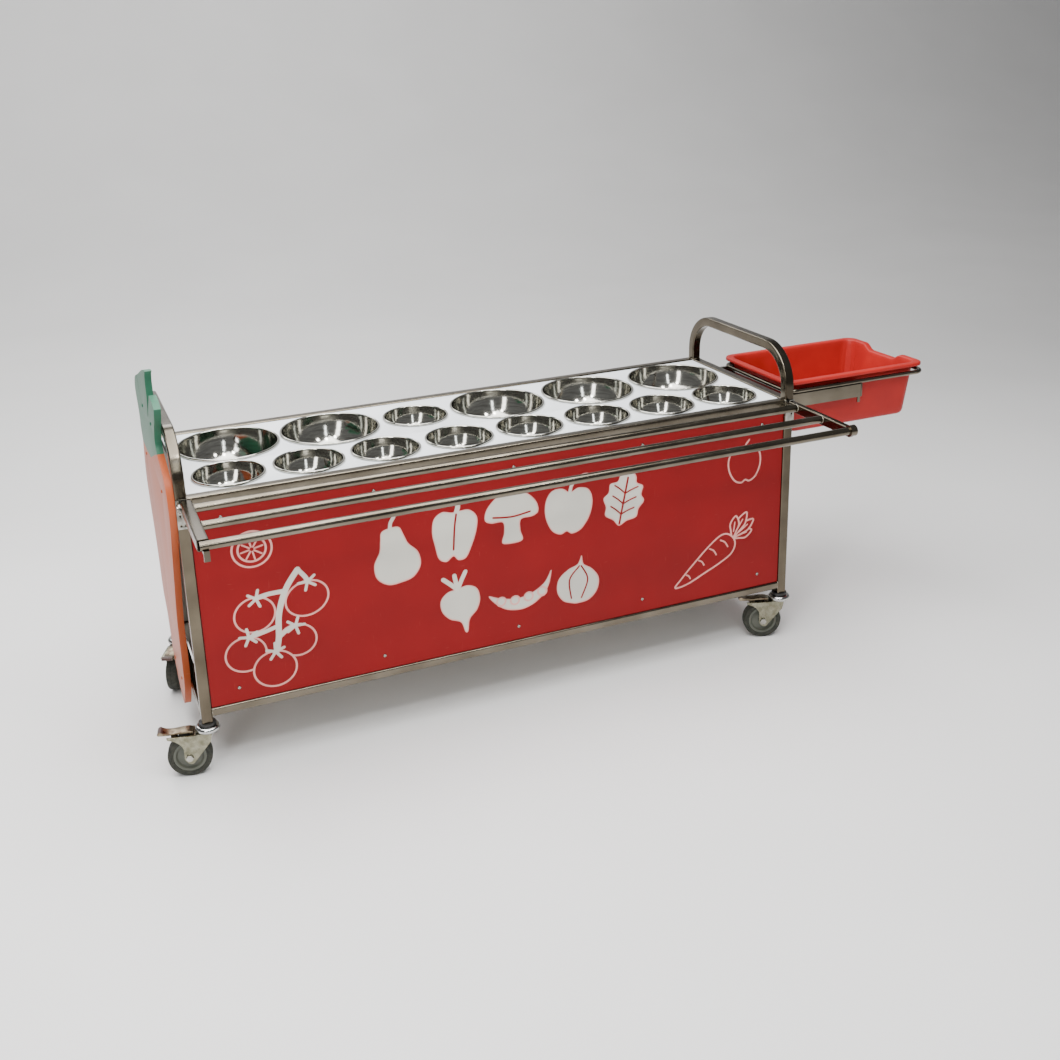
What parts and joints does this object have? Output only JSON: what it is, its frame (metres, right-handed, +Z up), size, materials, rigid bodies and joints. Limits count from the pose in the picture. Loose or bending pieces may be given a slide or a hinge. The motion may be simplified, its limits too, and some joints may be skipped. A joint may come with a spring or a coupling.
{
  "type": "mobile salad bar",
  "caption": "Wheeled steel salad bar with a white worktop of round steel bowls, red skirts, a tubular tray slide in front, a carrot-shaped end board and a red bin on a side ring.",
  "frame": {"origin": "on the floor, under the middle of the whole object's box", "axes": "+X along the front from the carrot board to the bin, +Y from the tray slide to the back, +Z up"},
  "size_m": [2.1348, 0.7614, 0.916],
  "materials": {
    "frame_steel": "ground stainless steel, satin",
    "bright_steel": "bright zinc and polished steel",
    "bowl_steel": "spun and polished stainless steel",
    "worktop_white": "white plastic board, satin",
    "skirt_red": "red plastic board, satin",
    "carrot_orange": "orange plastic board, satin",
    "leaf_green": "green plastic board, satin",
    "tub_red": "moulded red plastic",
    "castor_black": "black cap over a steel stem",
    "hub_grey": "grey moulded plastic",
    "tyre_dark": "dark rubber",
    "pedal_steel": "stained steel plate with a dark brown tip",
    "deck_grey": "light grey plastic board, satin"
  },
  "bodies": {
    "frame": {"hoop_left": "frame_steel", "hoop_right": "frame_steel", "top_rail_front": "frame_steel", "top_rail_back": "frame_steel", "top_rail_left": "frame_steel", "top_rail_right": "frame_steel", "bottom_rail_front": "frame_steel", "bottom_rail_back": "frame_steel", "bottom_rail_left": "frame_steel", "bottom_rail_right": "frame_steel", "top_panel": "worktop_white", "front_panel": "skirt_red", "back_panel": "skirt_red", "deck": "deck_grey", "panel_tabs": "frame_steel", "board_screws": "bright_steel", "carrot_root": "carrot_orange", "carrot_leaves": "leaf_green", "tray_hinges": "bright_steel", "tub_ring": "frame_steel", "tub_arms": "frame_steel", "castor_heads": "castor_black"},
    "tray_slide": {"tray_arm_left": "frame_steel", "tray_arm_right": "frame_steel", "tray_tubes": "frame_steel"},
    "bowl_back_1": {"bowl_back_1": "bowl_steel"},
    "bowl_back_2": {"bowl_back_2": "bowl_steel"},
    "bowl_back_3": {"bowl_back_3": "bowl_steel"},
    "bowl_back_4": {"bowl_back_4": "bowl_steel"},
    "bowl_back_5": {"bowl_back_5": "bowl_steel"},
    "bowl_back_6": {"bowl_back_6": "bowl_steel"},
    "bowl_front_1": {"bowl_front_1": "bowl_steel"},
    "bowl_front_2": {"bowl_front_2": "bowl_steel"},
    "bowl_front_3": {"bowl_front_3": "bowl_steel"},
    "bowl_front_4": {"bowl_front_4": "bowl_steel"},
    "bowl_front_5": {"bowl_front_5": "bowl_steel"},
    "bowl_front_6": {"bowl_front_6": "bowl_steel"},
    "bowl_front_7": {"bowl_front_7": "bowl_steel"},
    "bowl_front_8": {"bowl_front_8": "bowl_steel"},
    "tub": {"tub": "tub_red"},
    "castor_front_left": {"castor_fork_front_left": "bright_steel", "castor_axle_front_left": "bright_steel"},
    "wheel_front_left": {"castor_hub_front_left": "hub_grey", "castor_tyre_front_left": "tyre_dark"},
    "brake_front_left": {"castor_pedal_front_left": "pedal_steel"},
    "castor_front_right": {"castor_fork_front_right": "bright_steel", "castor_axle_front_right": "bright_steel"},
    "wheel_front_right": {"castor_hub_front_right": "hub_grey", "castor_tyre_front_right": "tyre_dark"},
    "brake_front_right": {"castor_pedal_front_right": "pedal_steel"},
    "castor_back_left": {"castor_fork_back_left": "bright_steel", "castor_axle_back_left": "bright_steel"},
    "wheel_back_left": {"castor_hub_back_left": "hub_grey", "castor_tyre_back_left": "tyre_dark"},
    "brake_back_left": {"castor_pedal_back_left": "pedal_steel"},
    "castor_back_right": {"castor_fork_back_right": "bright_steel", "castor_axle_back_right": "bright_steel"},
    "wheel_back_right": {"castor_hub_back_right": "hub_grey", "castor_tyre_back_right": "tyre_dark"},
    "brake_back_right": {"castor_pedal_back_right": "pedal_steel"}
  },
  "joints": [
    {"name": "swivel_front_left", "type": "hinge", "parent": "frame", "child": "castor_front_left", "pos_m": [-0.95608, -0.10475, 0.121], "axis": [0, 0, 1], "continuous": true},
    {"name": "roll_front_left", "type": "hinge", "parent": "castor_front_left", "child": "wheel_front_left", "pos_m": [-1.0001, -0.09539, 0.05], "axis": [-0.2079, -0.9781, 0], "continuous": true},
    {"name": "brake_press_front_left", "type": "hinge", "parent": "castor_front_left", "child": "brake_front_left", "pos_m": [-1.02846, -0.08936, 0.103], "axis": [-0.2079, -0.9781, 0], "range_deg": [0, 15]},
    {"name": "swivel_front_right", "type": "hinge", "parent": "frame", "child": "castor_front_right", "pos_m": [0.56692, -0.10475, 0.121], "axis": [0, 0, 1], "continuous": true},
    {"name": "roll_front_right", "type": "hinge", "parent": "castor_front_right", "child": "wheel_front_right", "pos_m": [0.52463, -0.08936, 0.05], "axis": [-0.342, -0.9397, 0], "continuous": true},
    {"name": "brake_press_front_right", "type": "hinge", "parent": "castor_front_right", "child": "brake_front_right", "pos_m": [0.49738, -0.07944, 0.103], "axis": [-0.342, -0.9397, 0], "range_deg": [0, 15]},
    {"name": "swivel_back_left", "type": "hinge", "parent": "frame", "child": "castor_back_left", "pos_m": [-0.95608, 0.35225, 0.121], "axis": [0, 0, 1], "continuous": true},
    {"name": "roll_back_left", "type": "hinge", "parent": "castor_back_left", "child": "wheel_back_left", "pos_m": [-0.97438, 0.31114, 0.05], "axis": [0.9135, -0.4067, 0], "continuous": true},
    {"name": "brake_press_back_left", "type": "hinge", "parent": "castor_back_left", "child": "brake_back_left", "pos_m": [-0.98618, 0.28465, 0.103], "axis": [0.9135, -0.4067, 0], "range_deg": [0, 15]},
    {"name": "swivel_back_right", "type": "hinge", "parent": "frame", "child": "castor_back_right", "pos_m": [0.56692, 0.35225, 0.121], "axis": [0, 0, 1], "continuous": true},
    {"name": "roll_back_right", "type": "hinge", "parent": "castor_back_right", "child": "wheel_back_right", "pos_m": [0.52614, 0.33323, 0.05], "axis": [0.4226, -0.9063, 0], "continuous": true},
    {"name": "brake_press_back_right", "type": "hinge", "parent": "castor_back_right", "child": "brake_back_right", "pos_m": [0.49985, 0.32098, 0.103], "axis": [0.4226, -0.9063, 0], "range_deg": [0, 15]},
    {"name": "tray_fold", "type": "hinge", "parent": "frame", "child": "tray_slide", "pos_m": [-0.19458, -0.13425, 0.655], "axis": [1, 0, 0], "range_deg": [0, 87]},
    {"name": "lift_bowl_back_1", "type": "slide", "parent": "frame", "child": "bowl_back_1", "axis": [0, 0, 1], "range_m": [0, 0.12]},
    {"name": "lift_bowl_back_2", "type": "slide", "parent": "frame", "child": "bowl_back_2", "axis": [0, 0, 1], "range_m": [0, 0.12]},
    {"name": "lift_bowl_back_3", "type": "slide", "parent": "frame", "child": "bowl_back_3", "axis": [0, 0, 1], "range_m": [0, 0.09]},
    {"name": "lift_bowl_back_4", "type": "slide", "parent": "frame", "child": "bowl_back_4", "axis": [0, 0, 1], "range_m": [0, 0.12]},
    {"name": "lift_bowl_back_5", "type": "slide", "parent": "frame", "child": "bowl_back_5", "axis": [0, 0, 1], "range_m": [0, 0.12]},
    {"name": "lift_bowl_back_6", "type": "slide", "parent": "frame", "child": "bowl_back_6", "axis": [0, 0, 1], "range_m": [0, 0.12]},
    {"name": "lift_bowl_front_1", "type": "slide", "parent": "frame", "child": "bowl_front_1", "axis": [0, 0, 1], "range_m": [0, 0.09]},
    {"name": "lift_bowl_front_2", "type": "slide", "parent": "frame", "child": "bowl_front_2", "axis": [0, 0, 1], "range_m": [0, 0.09]},
    {"name": "lift_bowl_front_3", "type": "slide", "parent": "frame", "child": "bowl_front_3", "axis": [0, 0, 1], "range_m": [0, 0.09]},
    {"name": "lift_bowl_front_4", "type": "slide", "parent": "frame", "child": "bowl_front_4", "axis": [0, 0, 1], "range_m": [0, 0.09]},
    {"name": "lift_bowl_front_5", "type": "slide", "parent": "frame", "child": "bowl_front_5", "axis": [0, 0, 1], "range_m": [0, 0.09]},
    {"name": "lift_bowl_front_6", "type": "slide", "parent": "frame", "child": "bowl_front_6", "axis": [0, 0, 1], "range_m": [0, 0.09]},
    {"name": "lift_bowl_front_7", "type": "slide", "parent": "frame", "child": "bowl_front_7", "axis": [0, 0, 1], "range_m": [0, 0.09]},
    {"name": "lift_bowl_front_8", "type": "slide", "parent": "frame", "child": "bowl_front_8", "axis": [0, 0, 1], "range_m": [0, 0.09]},
    {"name": "lift_tub", "type": "slide", "parent": "frame", "child": "tub", "axis": [0, 0, 1], "range_m": [0, 0.17]}
  ]
}
